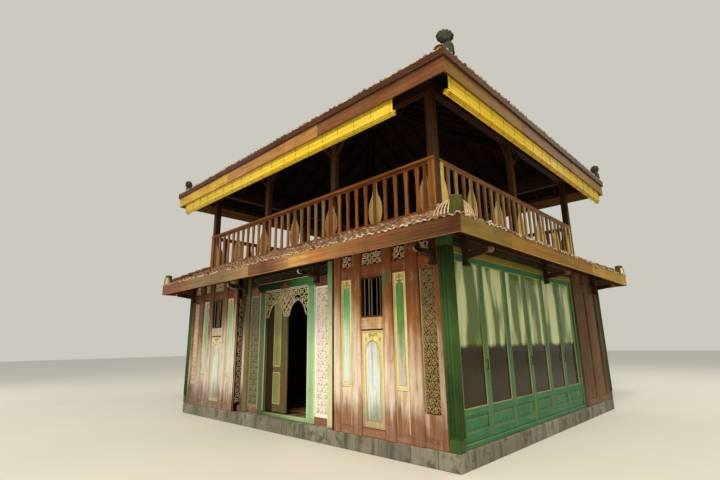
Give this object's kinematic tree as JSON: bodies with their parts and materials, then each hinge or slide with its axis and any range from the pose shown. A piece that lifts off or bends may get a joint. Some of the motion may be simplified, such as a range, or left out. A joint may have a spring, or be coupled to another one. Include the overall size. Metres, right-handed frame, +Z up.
{
  "type": "two-storey carved-teak gallery house",
  "caption": "Timber house with a carved front wall, pivoted doors, glazed folding side doors, a tiled skirt roof and an open balustraded gallery under a hipped tile roof.",
  "frame": {"origin": "centre of the plan on the ground, under the plinth", "axes": "+Z up; the carved front with the doorway faces -Y; the glazed side faces +X"},
  "size_m": [8.66, 7.7, 7.7312],
  "materials": {
    "carved_teak": "weathered carved teak, reddish brown fading to pale pinkish grey low down",
    "red_teak": "oiled orange-red teak boards, satin",
    "green_paint": "worn green paint with cream edges over teak",
    "dark_green_paint": "dark green paint, worn",
    "dark_timber": "dark brown stained timber",
    "stone": "rough weathered stone",
    "roof_tile": "unglazed clay tile with pale lichen edges",
    "mossy_stone": "dark mossy stone and cement",
    "bamboo": "golden split bamboo, slightly glossy",
    "glass": "clear glass"
  },
  "bodies": {
    "house": {"back_wall": "carved_teak", "back_window_left": "carved_teak", "back_window_right": "carved_teak", "balustrade_back": "carved_teak", "balustrade_front": "carved_teak", "balustrade_left": "carved_teak", "balustrade_right": "carved_teak", "blind_front": "bamboo", "blind_right": "bamboo", "corner_post_back_left": "dark_green_paint", "corner_post_back_right": "dark_green_paint", "corner_post_front_left": "dark_green_paint", "corner_post_front_right": "dark_green_paint", "door_frame": "green_paint", "door_fretwork": "carved_teak", "eave_fascia": "red_teak", "front_wall_left_inner": "carved_teak", "front_wall_left_outer": "carved_teak", "front_wall_right_inner": "carved_teak", "front_wall_right_outer": "carved_teak", "front_window_left": "carved_teak", "front_window_right": "carved_teak", "ground_beam_back": "dark_timber", "ground_beam_front": "dark_timber", "ground_beam_left": "dark_timber", "ground_beam_right": "dark_timber", "plinth_floor": "stone", "roof_back": "roof_tile", "roof_front": "roof_tile", "roof_left": "roof_tile", "roof_ridge": "mossy_stone", "roof_right": "roof_tile", "side_door_frame": "green_paint", "side_door_glass": "glass", "side_door_leaf_1": "green_paint", "side_door_leaf_2": "green_paint", "side_door_leaf_3": "green_paint", "side_door_leaf_4": "green_paint", "side_door_leaf_5": "green_paint", "side_door_leaf_6": "green_paint", "side_wall_left": "carved_teak", "side_wall_right": "carved_teak", "skirt_fascia": "red_teak", "skirt_hip_back_left": "mossy_stone", "skirt_hip_back_right": "mossy_stone", "skirt_hip_front_left": "mossy_stone", "skirt_hip_front_right": "mossy_stone", "skirt_roof_back": "roof_tile", "skirt_roof_front": "roof_tile", "skirt_roof_left": "roof_tile", "skirt_roof_right": "roof_tile", "upper_floor": "dark_timber", "upper_frame_back": "dark_timber", "upper_frame_front": "dark_timber", "upper_frame_left": "dark_timber", "upper_frame_right": "dark_timber"},
    "left_leaf": {"door_leaf_left": "green_paint"},
    "right_leaf": {"door_leaf_right": "green_paint"}
  },
  "joints": [
    {"name": "left_leaf_hinge", "type": "hinge", "parent": "house", "child": "left_leaf", "pos_m": [-0.64, -3.07, 0.3], "axis": [0, 0, 1], "range_deg": [0, 95]},
    {"name": "right_leaf_hinge", "type": "hinge", "parent": "house", "child": "right_leaf", "pos_m": [0.64, -3.07, 0.3], "axis": [0, 0, 1], "range_deg": [-5, 90]}
  ]
}
